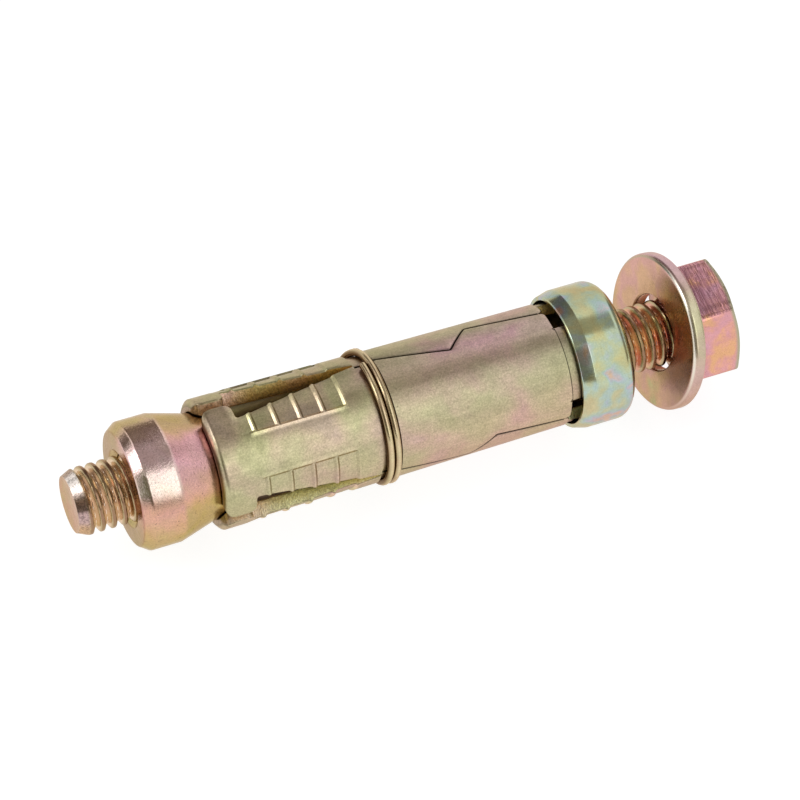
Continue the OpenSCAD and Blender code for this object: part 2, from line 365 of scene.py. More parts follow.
def mottled_film(shader, stops, size, speckle, grain=0.15, base=None, share=0.5, pitted=0.0):
    """Interference colours of the passivated zinc: patches, cloudy tone, fine grain and dark pits."""
    broad = shader.noise(1 / size, detail=2.0, rough=0.4, distortion=0.6)
    fine = shader.noise(2.6 / size, detail=4, rough=0.55, distortion=0.3)
    film = shader.math("ADD", shader.math("MULTIPLY", broad, 0.75), shader.math("MULTIPLY", fine, 0.25))
    colour = shader.ramp(shader.level(film, 0.34, 0.66), stops)
    if base:
        colour = shader.mix(share, base, colour)
    cloud = shader.level(shader.noise(0.8, detail=5, rough=0.6), 0.3, 0.7, 0.93, 1.07)
    grains = shader.level(shader.noise(6.5, detail=2, rough=0.7), 0.3, 0.7, 1 - grain / 2, 1 + grain / 2)
    colour = shader.times(colour, shader.math("MULTIPLY", cloud, grains))
    pit_level = 0.29 + pitted
    pits = shader.noise(4.0, detail=3, rough=0.8)
    pits = shader.ramp(pits, [(pit_level, 1 - speckle), (pit_level + 0.06, 1.0)], smooth=False)
    return shader.times(colour, pits)


def shaded(shader, colour):
    """Darkens a colour by the painted shade stored in the mesh, or lightens it where that is a painted
    highlight.
    """
    return shader.times(colour, shader.math("SUBTRACT", 1.0, shader.attribute("shade")))


def polished(shader, colour, roughness, grain=0.002):
    """Gloss of a turned or drawn piece, with faint waves and grain."""
    shader.bump(shader.noise(0.55, detail=2), 0.004)
    shader.bump(shader.noise(5, detail=3, rough=0.7), grain)
    return shader.finish(colour, shader.level(shader.noise(0.9, detail=4), 0.35, 0.65, *roughness))


EDGE_TINT = (0.86, 0.76, 0.66, 1)
YELLOW = (200, 186, 128)
CREAM = (206, 190, 160)
PINK = (217, 168, 149)
ROSE = (218, 163, 176)
TAN = (205, 168, 130)


def nut_metal():
    """Pink over a yellow underside, rose on the top of the cone, a darker face, and painted highlights
    and shade round the ring.
    """
    shader = Shader("nut_film")
    # Round the ring: a painted dark line at 27 degrees, a painted highlight from 38 to 52, and lighter
    # pink from 64 to 84 as a painted highlight on the chamfer
    ring = shader.banded([
        (-40, (176, 168, 92)), (-16, (196, 176, 102)), (0, (216, 172, 128)), (14, PINK),
        (27, (176, 140, 122)), (38, (244, 240, 222)), (52, (240, 222, 208)),
        (64, (250, 220, 222)), (84, (252, 226, 224)), (98, (226, 196, 170)),
        (112, (178, 166, 104)),
    ], 8)
    cone = shader.banded([
        (-40, (168, 158, 80)), (6, (184, 168, 88)), (17, (212, 168, 124)), (27, PINK),
        (40, (212, 170, 154)), (56, (220, 174, 182)), (74, (228, 164, 186)), (86, TAN),
        (98, (176, 162, 96)),
    ], 12)
    cone_from = x_at(NUT_CYLINDER_END)
    base = shader.mix(shader.past(cone_from - 0.1, cone_from + 0.3), ring, cone)
    face_at = x_at(NUT_START)
    behind_face = shader.past(face_at + 0.02, face_at + 0.12)
    base = shader.times(base, shader.ramp(behind_face, [(0.0, (0.6, 0.5, 0.52, 1)), (1.0, 1.0)]))
    patches = [(0.0, YELLOW), (0.3, TAN), (0.55, PINK), (0.8, ROSE), (1.0, CREAM)]
    colour = mottled_film(shader, patches, 3.4, 0.6, grain=0.24, base=base, share=0.22, pitted=0.03)
    return polished(shader, colour, (0.12, 0.2), grain=0.017)


def cap_metal():
    """Clouds of pale cyan, yellow green and orange over greyer bands, with a painted dark reflection
    over the top.
    """
    shader = Shader("cap_film")
    patches = [(0.0, (212, 190, 120)), (0.3, (200, 198, 138)), (0.5, (186, 200, 162)),
               (0.68, (164, 200, 196)), (0.84, (192, 184, 206)), (1.0, (232, 178, 134))]
    # The dark grey at 93 to 106 degrees over the top is a painted dark reflection
    base = shader.banded([
        (-30, (182, 180, 184)), (6, (162, 162, 168)), (26, (182, 190, 166)),
        (46, (198, 190, 150)), (62, (198, 206, 174)), (78, (184, 194, 176)),
        (93, (118, 126, 132)), (106, (128, 134, 140)), (122, (168, 170, 168)),
    ], 6)
    return polished(shader, mottled_film(shader, patches, 2.6, 0.3, base=base, share=0.62), (0.14, 0.24))


def washer_metal():
    """Tan and rose face with painted shade low down, a side from brown over green to lavender, and a rim
    with a painted highlight, darker over its top where a dark reflection is painted.
    """
    shader = Shader("washer_film")
    patches = [(0.0, (184, 180, 132)), (0.25, TAN), (0.5, (208, 166, 144)),
               (0.75, (204, 156, 154)), (1.0, TAN)]
    # Painted shade: the face darker below the axis, most at -25 degrees
    face_painted_shade = shader.banded([(-50, 0.95), (-25, 0.5), (-5, 0.68), (20, 1.0), (100, 1.0)], 8)
    face = shader.times(mottled_film(shader, patches, 5.0, 0.35), face_painted_shade)
    side = shader.banded([
        (-50, (186, 146, 132)), (-10, (196, 164, 152)), (14, (198, 172, 166)),
        (34, (188, 192, 150)), (56, (238, 242, 198)), (74, (204, 176, 172)),
        (100, (204, 172, 184)),
    ], 8)
    side = mottled_film(shader, patches, 3.0, 0.35, base=side, share=0.25)
    # Painted light on the rounded rim: a bright painted highlight up to 80 degrees, and a painted dark
    # reflection from 92 to 104
    worn = shader.banded([
        (-50, (196, 158, 142)), (-12, (206, 176, 160)), (12, (236, 228, 212)),
        (80, (240, 234, 222)), (92, (140, 130, 112)), (104, (132, 124, 106)),
        (118, (192, 172, 150)),
    ], 4)
    colour = shader.mix(shader.attribute("side"), face, side)
    colour = shader.mix(shader.attribute("rim"), colour, worn)
    return polished(shader, colour, (0.2, 0.3))


def thread_film(shader):
    """Olive brown crests, worn just below, over grooves that turn from cream to orange and rose."""
    crests = [(0.0, (150, 140, 92)), (0.4, (160, 130, 98)), (1.0, (150, 112, 96))]
    grooves = [(0.0, (212, 196, 150)), (0.35, (222, 180, 138)), (0.7, (216, 170, 146)),
               (1.0, (212, 164, 156))]
    crest = mottled_film(shader, crests, 2.4, 0.3)
    groove = mottled_film(shader, grooves, 2.2, 0.2)
    rosier = shader.past(12, 22)
    groove = shader.times(groove, shader.ramp(rosier, [(0.0, 1.0), (1.0, (1.0, 0.86, 0.92, 1))]))
    paler = shader.past(-24, -16, 0.6, 0.0)
    groove = shader.mix(paler, groove, srgb(236, 224, 196))
    depth = shader.attribute("groove")
    below_crest = shader.ramp(depth, [(0.02, 0.0), (0.1, 1.0)], smooth=False)
    worn = shader.mix(below_crest, crest, srgb(186, 168, 132))
    return shader.mix(shader.level(depth, 0.2, 0.5), worn, groove)


def head_film(shader, hatch):
    """Orange to lilac clouds, darker in the hatch marks, and a greyer turned end."""
    patches = [(0.0, (226, 174, 128)), (0.2, (220, 162, 142)), (0.4, (216, 156, 154)),
               (1.0, (200, 152, 170))]
    head = mottled_film(shader, patches, 2.0, 0.3)
    head = shader.mix(shader.math("MULTIPLY", hatch, 0.52), head, srgb(162, 106, 124))
    return shader.mix(shader.attribute("turned"), head, srgb(170, 164, 138))


def lead_film(shader):
    """Bevel of the tip with dark flecks, bright where a highlight is painted over its upper part, and
    greyer on the side that shows, where a dark reflection is painted.
    """
    # A painted highlight from 64 to 98 degrees, and greyer from 2 to 38 where a dark reflection is
    # painted
    lead = shader.banded([
        (-50, TAN), (-12, TAN), (2, (186, 158, 158)), (38, (190, 162, 156)), (48, PINK),
        (64, (248, 238, 230)), (98, (248, 238, 230)), (112, (160, 136, 120)),
    ], 6)
    flecks = shader.noise(5, detail=3, rough=0.8)
    return shader.times(lead, shader.ramp(flecks, [(0.4, 0.55), (0.55, 1.1)], smooth=False))


def bolt_metal():
    """Films of the thread, the head and the tip, each where the mesh names it."""
    shader = Shader("bolt_film")
    marks = shader.noise(1.0, detail=1, rough=0.4, vector=shader.stretched((7.5, 0.5, 0.5)))
    hatch = shader.math("MULTIPLY", shader.attribute("hatch"), shader.level(marks, 0.42, 0.56))
    tips = [(0.0, (186, 168, 120)), (0.5, (190, 152, 122)), (1.0, (200, 152, 134))]
    head_from = x_at(NECK)
    on_head = shader.past(head_from - 0.05, head_from + 0.05)
    colour = shader.mix(on_head, thread_film(shader), head_film(shader, hatch))
    colour = shader.mix(shader.attribute("tip"), colour, mottled_film(shader, tips, 3.0, 0.1))
    colour = shader.mix(shader.attribute("lead"), colour, lead_film(shader))
    shader.bump(hatch, 0.02)
    shader.bump(shader.noise(5, detail=3, rough=0.7), 0.003)
    return shader.finish(colour, shader.level(shader.noise(1.5, detail=3), 0.35, 0.65, 0.18, 0.28))


def shield_metal():
    """Pressed sheet: satin cream olive, rosier towards the cap, with grain, pits, drawing marks and
    painted light and shade.
    """
    shader = Shader("shield_film")
    # Both bands darken over the top, near 100 degrees, as a painted dark reflection
    rear = shader.banded([
        (-25, (196, 160, 142)), (8, (205, 166, 150)), (30, (173, 162, 136)),
        (54, (179, 168, 146)), (70, (202, 174, 166)), (86, (214, 166, 186)),
        (100, (164, 136, 140)), (116, (176, 156, 142)),
    ], 10)
    front = shader.banded([
        (-25, (184, 164, 138)), (8, (192, 176, 144)), (34, (185, 178, 147)),
        (60, (190, 187, 142)), (84, (196, 187, 146)), (102, (156, 146, 112)),
    ], 12)
    base = shader.mix(shader.past(-8, 9), front, rear)
    patches = [(0.0, (170, 176, 122)), (0.3, (190, 188, 142)), (0.55, (198, 182, 150)),
               (0.8, (204, 170, 156)), (1.0, (194, 158, 162))]
    colour = mottled_film(shader, patches, 5.0, 0.4, grain=0.42, base=base, share=0.45)
    marks = shader.noise(3.0, detail=4, rough=0.65, vector=shader.stretched((0.1, 1, 1)))
    colour = shader.times(colour, shader.level(marks, 0.3, 0.7, 0.92, 1.08))
    shader.bump(marks, 0.004)
    shader.bump(shader.noise(4.5, detail=4, rough=0.75), 0.008)
    shader.bump(shader.noise(0.3, detail=1), 0.04)
    rough = shader.level(shader.noise(1.3, detail=4), 0.35, 0.65, 0.28, 0.38)
    return shader.finish(shaded(shader, colour), rough)


def sheared_metal():
    """Sheared edge of the sheet, torn into striations, a pink painted highlight at a slot's front and
    painted light at its end.
    """
    shader = Shader("sheared_film")
    patches = [(0.0, (178, 186, 112)), (0.4, (200, 182, 112)), (0.8, (206, 168, 118)),
               (1.0, (212, 164, 154))]
    # Painted light: lighter on the walls low round the axis, darker from 70 degrees up
    walls = shader.banded([
        (-60, (236, 230, 186)), (0, (238, 234, 184)), (30, (230, 214, 160)),
        (70, (196, 170, 112)), (140, (196, 170, 112)),
    ], 2)
    slot_from = x_at(SHIELD_START + EAR_LENGTH)
    slot_end = x_at(SHIELD_START + GROOVE_AT)
    # A pink painted highlight at the front of each slot
    slot_front_pink_highlight = shader.past(slot_from, slot_from + 2.5, 0.8, 0.0)
    walls = shader.mix(slot_front_pink_highlight, walls, srgb(252, 222, 212))
    colour = mottled_film(shader, patches, 3.0, 0.4, grain=0.6, base=walls, share=0.3)
    # Painted light that lifts the sheared walls towards the slot's end, where its own shade falls
    paler = shader.past(slot_end - 4.5, slot_end - 0.5, 1.0, 1.4)
    colour = shader.times(colour, paler)
    strips = shader.noise(1.0, detail=3, rough=0.7, vector=shader.stretched((6.0, 2.4, 2.4)))
    colour = shader.times(colour, shader.ramp(strips, [(0.35, 0.68), (0.62, 1.5)]))
    shader.bump(strips, 0.06)
    return shader.finish(shaded(shader, colour), 0.36)


def wire_metal():
    """Drawn spring wire with a thin grey brown film, painted bright along its crown as a highlight and
    dark on its sides as shade.
    """
    shader = Shader("wire_film")
    patches = [(0.0, (220, 210, 180)), (0.5, (230, 216, 190)), (1.0, (220, 196, 176))]
    crown = shader.attribute("crown")
    # Painted highlight along the crown and painted shade on the sides
    crown = shader.ramp(crown, [(0.45, (120, 98, 72)), (0.95, (242, 236, 216))])
    colour = shader.times(mottled_film(shader, patches, 2.0, 0.25), crown)
    shader.bump(shader.noise(8, detail=3), 0.002)
    return shader.finish(colour, 0.22)


# Meshes

def in_scene(name, data):
    """New object in the scene, of a mesh, a lamp or a camera."""
    made = bpy.data.objects.new(name, data)
    bpy.context.collection.objects.link(made)
    return made


def fill_mesh(name, points, faces, materials, slots=None, crease=32):
    """Mesh object with smooth faces, split at its sharper edges, turned outwards."""
    mesh = bpy.data.meshes.new(name)
    mesh.from_pydata([tuple(p) for p in points], [], faces)
    for material in materials:
        mesh.materials.append(material)
    if slots is not None:
        mesh.polygons.foreach_set("material_index", slots)
    work = bmesh.new()
    work.from_mesh(mesh)
    bmesh.ops.recalc_face_normals(work, faces=work.faces)
    work.to_mesh(mesh)
    work.free()
    mesh.polygons.foreach_set("use_smooth", [True] * len(mesh.polygons))
    mesh.set_sharp_from_angle(angle=math.radians(crease))
    return in_scene(name, mesh)


def paint(piece, name, values, domain="POINT"):
    """Stores one number for each point or face of a mesh, for its material."""
    layer = piece.data.attributes.new(name, "FLOAT", domain)
    layer.data.foreach_set("value", np.asarray(values, np.float32))


def dress(piece, body, node):
    """The piece stands for a node, whose part it hides, and moves with a body."""
    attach(piece, body)
    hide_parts(node)


def rounded(corners, steps=6):
    """Closed outline through corners of (x, y, rounding), as points."""
    out = []
    count = len(corners)
    for i, (x, y, radius) in enumerate(corners):
        here = np.array((x, y), float)
        if radius == 0:
            out.append(here)
            continue
        back = np.array(corners[i - 1][:2]) - here
        ahead = np.array(corners[(i + 1) % count][:2]) - here
        back /= np.linalg.norm(back)
        ahead /= np.linalg.norm(ahead)
        half = math.acos(np.clip(back @ ahead, -1, 1)) / 2
        reach = radius / math.tan(half)
        centre = here + (back + ahead) / np.linalg.norm(back + ahead) * radius / math.sin(half)
        a, b = here + back * reach - centre, here + ahead * reach - centre
        turn = math.pi - 2 * half
        for k in range(steps + 1):
            t = k / steps
            out.append(centre + (math.sin((1 - t) * turn) * a + math.sin(t * turn) * b) / math.sin(turn))
    return np.array(out)


def loop_faces(rows, columns, closed_rows=True):
    """Quads of a grid that closes on itself across its columns and, if asked, its rows."""
    last = rows if closed_rows else rows - 1
    return [(r * columns + c, r * columns + (c + 1) % columns,
             (r + 1) % rows * columns + (c + 1) % columns, (r + 1) % rows * columns + c)
            for r in range(last) for c in range(columns)]


def tube_faces(rows, columns):
    """Faces of a tube that is closed at both ends."""
    first, last = range(columns), range((rows - 1) * columns, rows * columns)
    return loop_faces(rows, columns, closed_rows=False) + [tuple(first)[::-1], tuple(last)]


def turned(name, outline, material):
    """Piece turned from a closed outline of (station, radius) points."""
    grid = place(outline[:, 0, None], outline[:, 1, None], ROUND_ANGLES[None])
    return fill_mesh(name, grid.reshape(-1, 3), loop_faces(len(outline), ROUND_STEPS), [material])


def make_nut():
    """Nut with a chamfered cylinder, a cone that spreads the segments, and a sunk bore."""
    face_r = NUT_R - 0.6
    chamfer_end = NUT_START + 0.85
    bore_r = CREST_R + 0.05
    sink_r = 3.5
    cone_end_r = NUT_R - (NUT_END - NUT_CYLINDER_END) * CONE
    outline = rounded([
        (NUT_START + sink_r - bore_r, bore_r, 0.08),
        (NUT_START, sink_r, 0.08),
        (NUT_START, face_r, 0.3),
        (chamfer_end, NUT_R, 0.45),
        (NUT_CYLINDER_END, NUT_R, 0.5),
        (NUT_END, cone_end_r, 0.1),
        (NUT_END, bore_r, 0.1),
    ])
    dress(turned("expander_nut_skin", outline, nut_metal()), "expander_nut", "expander_nut")


def make_cap():
    """Cup with a bevelled rim, a rounded floor and a hole for the bolt."""
    wall = 0.7
    rim_r = CAP_R - 0.31
    rim_in = rim_r - wall / 2
    crease_at = CAP_START + 1.15
    floor_at = CAP_END - 0.9
    hole_r = 3.3
    outline = rounded([
        (CAP_START, rim_in, 0.1),
        (CAP_START, rim_r, 0.16),
        (crease_at, CAP_R, 0.35),
        (CAP_END, CAP_R, 1.2),
        (CAP_END, hole_r, 0.2),
        (floor_at, hole_r, 0.1),
        (floor_at, CAP_R - wall, 0.4),
        (crease_at, CAP_R - wall, 0.2),
    ])
    dress(turned("end_cap_skin", outline, cap_metal()), "end_cap", "end_cap")


def make_washer():
    """Flat washer with rounded edges, leaning on the bolt."""
    low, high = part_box("washer")
    centre = np.array((low + high) / 2)
    half = WASHER_T / 2
    outline = rounded([
        (-half, WASHER_HOLE_R, 0.22),
        (-half, WASHER_R, 0.48),
        (half, WASHER_R, 0.2),
        (half, WASHER_HOLE_R, 0.2),
    ])
    along, radius = np.repeat(outline, ROUND_STEPS, axis=0).T
    around = np.tile(np.radians(ROUND_ANGLES), len(outline))
    flat = np.stack([along, radius * np.cos(around), radius * np.sin(around)], -1) * MM
    turn = Matrix.Rotation(math.radians(WASHER_TURN), 3, "Z")
    turn = turn @ Matrix.Rotation(math.radians(WASHER_LEAN), 3, "Y")
    points = flat @ np.array(turn).T + centre
    piece = fill_mesh("washer_skin", points, loop_faces(len(outline), ROUND_STEPS), [washer_metal()])
    outside = radius > WASHER_R - WASHER_EDGE
    paint(piece, "side", outside & (along > WASHER_SIDE_START - half))
    paint(piece, "rim", outside & (along > -half) & (along < WASHER_RIM_END - half))
    dress(piece, "washer", "washer")


def thread_radius(station, angle):
    """Radius of the right-hand thread at stations and angles, its crests softened."""
    phase = station / PITCH + angle / 360 + THREAD_PHASE
    from_crest = np.abs((phase + 0.5) % 1 - 0.5)
    reach = 0.5 - ROOT_SHARE - CREST_SHARE
    offsets = (-0.05, -0.025, 0, 0.025, 0.05)
    heights = [1 - np.clip((from_crest + off - CREST_SHARE) / reach, 0, 1) for off in offsets]
    height = sum(heights) / len(offsets)
    fade = smoothstep(0.7, 1.3, station) * (1 - smoothstep(NECK - 0.9, NECK - 0.3, station))
    radius = CREST_R - THREAD_DEPTH * (1 - height) * fade
    return np.minimum(radius, TIP_R + station / LEAD_LENGTH * (CREST_R - TIP_R))


def head_radius(angles):
    """Outline of the hexagon with its corners slightly rounded."""
    off = (angles - HEAD_CORNER) % 60 - 30
    flat = HEAD_APOTHEM / np.cos(np.radians(off))
    centre = (HEAD_APOTHEM - HEAD_CORNER_ROUND) / math.cos(math.radians(30))
    beside = np.radians(30 - np.abs(off))
    under = HEAD_CORNER_ROUND ** 2 - (centre * np.sin(beside)) ** 2
    rounding = centre * np.cos(beside) + np.sqrt(np.maximum(under, 0))
    return np.where((under > 0) & (rounding < flat), rounding, flat)


def bolt_angles():
    """Angles of the bolt's columns, closer together at the head's corners."""
    near_corner = [0, 0.5, 1.0, 1.6, 2.2, 3.0, 5, 8, 12, 16, 20, 25, 30]
    sector = near_corner + [60 - a for a in near_corner[-2:0:-1]]
    return np.array([HEAD_CORNER + 60 * k + a for k in range(6) for a in sector])


def shank_stations():
    """Stations of the shank's rings, closer together where the thread shows."""
    lead_end, shown_front, shown_rear = 0.6, 7.0, CAP_END - 0.5
    fine, coarse = PITCH / 18, PITCH / 9
    return np.concatenate([
        np.linspace(0, lead_end, 10, endpoint=False),
        np.arange(lead_end, shown_front, fine),
        np.arange(shown_front, shown_rear, coarse),
        np.arange(shown_rear, NECK - 0.06, fine),
    ])


def head_rings(angles):
    """Rings of the head from its underside over its flats to its turned end."""
    outer = head_radius(angles)
    edge_at = BOLT_END - (outer - HEAD_END_R + 0.12) * HEAD_TURNED_DOWN
    edge = 0.1
    return np.array([
        place(NECK, CREST_R + 0.15, angles),
        place(NECK, outer - edge, angles),
        place(NECK + edge * 0.3, outer - edge * 0.3, angles),
        place(NECK + edge, outer, angles),
        place(edge_at - HEAD_BAND, outer, angles),
        place(edge_at - edge, outer, angles),
        place(edge_at - edge * 0.3, outer - edge * 0.1, angles),
        place(edge_at + edge * 0.4, outer - edge * 0.6, angles),
        place(BOLT_END - 0.09, HEAD_END_R - 0.05, angles),
        place(BOLT_END, HEAD_END_R - 0.3, angles),
        place(BOLT_END, 2.5, angles),
        place(BOLT_END - 0.02, 0.8, angles),
    ])


def make_bolt():
    """Bolt with a dished tip, a thread and a head, as one mesh of rings."""
    angles = bolt_angles()
    columns = len(angles)
    along = shank_stations()
    tip = [place(TIP_DISH * (1 - k ** 2), k * TIP_R, angles) for k in TIP_RINGS]
    shank = place(along[:, None], thread_radius(along[:, None], angles[None]), angles[None])
    head = head_rings(angles)
    grid = np.concatenate([tip, shank, head])
    faces = tube_faces(len(grid), columns)
    piece = fill_mesh("bolt_skin", grid.reshape(-1, 3), faces, [bolt_metal()], crease=26)

    first_flat, first_turned, last_flat = 3, 5, 7
    ring = np.repeat(np.arange(len(grid)), columns)
    head_ring = ring - len(tip) - len(shank)
    lead = 1 - smoothstep(0.75, 0.95, along)
    lead = np.concatenate([np.zeros(len(tip)), lead, np.zeros(len(head))])
    on_hatched = np.tile((angles - HEAD_CORNER) % 360 < HATCHED_ANGLE, len(grid))
    depth = (CREST_R - np.hypot(grid[..., 1], grid[..., 2] - AXIS_Z) / MM) / THREAD_DEPTH
    paint(piece, "tip", ring < len(tip))
    paint(piece, "lead", np.repeat(lead, columns))
    paint(piece, "groove", np.clip(depth, 0, 1).ravel())
    paint(piece, "hatch", on_hatched & (head_ring >= first_flat) & (head_ring <= last_flat))
    paint(piece, "turned", head_ring >= first_turned)
    dress(piece, "bolt", "bolt")


def shield_r(along):
    """Outer radius of the tapered shield, at a distance from its front end."""
    return FRONT_R - (FRONT_R - REAR_R) / SHOULDER_AT * np.minimum(along, SHOULDER_AT)


def window_steps():
    """Distances at which the windows' floors and ridges bend, and depths there."""
    at, depth = [TEETH_AT - RAMP], [0]
    for k in range(TOOTH_COUNT):
        foot = TEETH_AT + TOOTH_PITCH * k
        before = FIRST_DEPTH if k == 0 else WINDOW_DEPTH
        behind = 0 if k == TOOTH_COUNT - 1 else WINDOW_DEPTH
        at += [foot, foot + RIDGE_WALL, foot + RIDGE_WALL + RIDGE_TOP, foot + 2 * RIDGE_WALL + RIDGE_TOP]
        depth += [before, 0, 0, behind]
    return at, depth


def surface_steps():
    """Distances from the front end at which the outer surface bends."""
    steps = window_steps()[0]
    for wall in (GROOVE_AT, GROOVE_AT + GROOVE_W):
        steps += [wall - GROOVE_WALL, wall + GROOVE_WALL]
    return steps + [SHOULDER_AT, SHOULDER_AT + TONGUE_WALL, SHOULDER_AT + TONGUE_LINE]


def window_cut(across, along):
    """Depth of the pressed windows, in two rows between ridges."""
    at, depth = window_steps()
    in_rows = np.clip((np.abs(across) - BAND_HALF + WALL_HALF) / (2 * WALL_HALF), 0, 1)
    return np.interp(along, at, depth, left=0, right=0) * in_rows


def surface_shade(across, along):
    """Painted shade and highlights of the outer surface: walls, tops and backs of the ridges, burrs,
    tongue.
    """
    row = (across > 0).astype(int)
    past = along - TEETH_AT
    ridge = np.floor(past / TOOTH_PITCH)
    beyond = past - ridge * TOOTH_PITCH
    before_last = (past > 0) & (ridge < TOOTH_COUNT - 1)
    on_last = (ridge == TOOTH_COUNT - 1) & (beyond < RIDGE_WALL + RIDGE_TOP)
    kinds = np.array([WALL_SHADE, TOP_SHADE, BACK_SHADE, (0, 0)])
    kind = np.searchsorted([RIDGE_WALL, RIDGE_WALL + RIDGE_TOP, 2 * RIDGE_WALL + RIDGE_TOP], beyond)
    side = np.abs(across) - BAND_HALF
    kind = np.where((kind == 3) & (side < WALL_HALF), 0, kind)
    in_windows = before_last | on_last
    shade = np.where(in_windows & (side > -WALL_HALF), kinds[kind, row], 0)
    on_burr = in_windows & (side <= -WALL_HALF) & (side > -WALL_HALF - BURR_WIDTH)
    shade = np.where(on_burr, np.array(BURR_SHADE)[row], shade)
    shade = np.where(along > SHOULDER_AT, TONGUE_SHADE, shade)
    on_line = (along > SHOULDER_AT) & (along < SHOULDER_AT + TONGUE_LINE)
    return np.where(on_line, TONGUE_LINE_SHADE, shade)


def outer_surface(across, along):
    """Outer radius of a segment at flat coordinates."""
    bevel = np.clip(1 - along / LIP_BEVEL, 0, 1)
    radius = shield_r(along) - (FRONT_R - LIP_R - LIP_FLAT) * bevel ** LIP_CURVE
    radius = radius - window_cut(across, along)
    beside = np.abs(across) - BAND_HALF + WALL_HALF
    burr = np.interp(beside, [-BURR_WIDTH, -BURR_EDGE, 0], [0, 1, 0], left=0, right=0)
    burr = burr * (along > TEETH_AT) * (along < TEETH_AT + TOOTH_PITCH * (TOOTH_COUNT - 1))
    radius = radius + np.where(across < 0, *BURR_RISE) * burr
    groove = smoothstep(GROOVE_AT - GROOVE_WALL, GROOVE_AT + GROOVE_WALL, along)
    groove_end = GROOVE_AT + GROOVE_W
    groove = groove * (1 - smoothstep(groove_end - GROOVE_WALL, groove_end + GROOVE_WALL, along))
    radius = radius - GROOVE_DEPTH * groove
    return np.where(along > SHOULDER_AT + TONGUE_WALL / 2, REAR_R - TONGUE_STEP, radius)


def inner_surface(along):
    """Inner radius of a segment: a cone at the lip, then a plain bore."""
    bore = shield_r(GROOVE_AT) - SHEET
    return np.maximum(bore, LIP_R - along * CONE)


def side_corners():
    """Corners of a segment's edge from front to rear, as (sideways of the seam, along, rounding)."""
    return [
        (-EAR_HALF_GAP, 0, EAR_FRONT_ROUND),
        (-EAR_HALF_GAP, EAR_LENGTH, EAR_BACK_ROUND),
        (-SLOT_HALF, EAR_LENGTH, 0.2),
        (-SEAM_GAP, GROOVE_AT, 0.0),
    ]


def seam_corners():
    """Corners of the closed seam's middle line behind the slot."""
    return [
        (0, GROOVE_AT + GROOVE_W, 0.0),
        (SWING_FRONT, JOG_AT, 0.25),
        (-SWING_REAR, JOG_AT + JOG_LENGTH, 0.25),
        (0, SHOULDER_AT - SHOULDER_ROUND - 0.05, 0.0),
    ]


def rear_corners():
    """Corners of the shoulder and the tongue."""
    return [
        (-SEAM_GAP / 2, SHOULDER_AT, SHOULDER_ROUND - 0.02),
        (-NOTCH_HALF, SHOULDER_AT, 0.12),
        (-NOTCH_HALF, SHIELD_END - SHIELD_START, 0.3),
    ]


def edge_corners(side):
    """Corners of one edge of a flattened segment, from front to rear."""
    middle = math.radians(SEGMENT_TURN / 2) * FLAT_R
    front, rear = [[(side * (middle + x), y, r) for x, y, r in corners]
                   for corners in (side_corners(), rear_corners())]
    seam = [(side * middle + x - side * SEAM_GAP / 2, y, r) for x, y, r in seam_corners()]
    return front + seam + rear


def segment_outline():
    """Closed outline of a flattened segment, its middle at 0, sampled finely and anticlockwise."""
    corners = rounded(edge_corners(1) + edge_corners(-1)[::-1], steps=7)
    bends = np.array(surface_steps())
    points = []
    for a, b in zip(corners, np.roll(corners, -1, axis=0)):
        length = np.linalg.norm(b - a)
        parts = max(1, math.ceil(length / OUTLINE_SPACING))
        shares = np.arange(parts) / parts
        if abs(b[1] - a[1]) > LONG_EDGE:
            crossed = (bends - a[1]) / (b[1] - a[1])
            crossed = crossed[(crossed > 0.001) & (crossed < 0.999)]
            off = np.abs(shares[:, None] - crossed[None]).min(1, initial=1) * length
            clear = off > OUTLINE_CLEARANCE
            clear[0] = True
            shares = np.sort(np.concatenate([shares[clear], crossed]))
        points += [a + (b - a) * share for share in shares]
    points = np.array(points)
    points = points[np.linalg.norm(points - np.roll(points, 1, axis=0), axis=1) > SHORTEST_EDGE]
    ahead = np.roll(points, -1, axis=0)
    area = (points[:, 0] * ahead[:, 1] - ahead[:, 0] * points[:, 1]).sum()
    return points if area > 0 else points[::-1]


def outward_normals(points):
    """Normals of a closed outline that runs anticlockwise, longer at its corners."""
    ahead = np.roll(points, -1, axis=0) - points
    ahead /= np.linalg.norm(ahead, axis=1)[:, None]
    side = np.stack([ahead[:, 1], -ahead[:, 0]], -1)
    both = side + np.roll(side, 1, axis=0)
    both /= np.linalg.norm(both, axis=1)[:, None]
    grow = 1 / np.clip((both * side).sum(-1), 0.7, 1)
    return both * grow[:, None]


def inside(points, outline, margin):
    """Which points lie inside an outline, and further than a margin from its corners."""
    x, y = points[:, 0, None], points[:, 1, None]
    x0, y0 = outline[:, 0], outline[:, 1]
    x1, y1 = np.roll(x0, -1), np.roll(y0, -1)
    crosses = (y0 > y) != (y1 > y)
    slope = np.where(y1 == y0, 1e-12, y1 - y0)
    odd = (crosses & (x < x0 + (y - y0) * (x1 - x0) / slope)).sum(1) % 2 == 1
    far = np.sqrt(((points[:, None] - outline[None]) ** 2).sum(-1)).min(1) > margin
    return odd & far


def thinned(lines, fixed):
    """Grid lines with fixed ones added, and without those close to them."""
    fixed = np.array(fixed)
    near = np.abs(lines[:, None] - fixed[None]).min(1) < GRID_CLEARANCE
    return np.unique(np.round(np.concatenate([lines[~near], fixed]), 4))


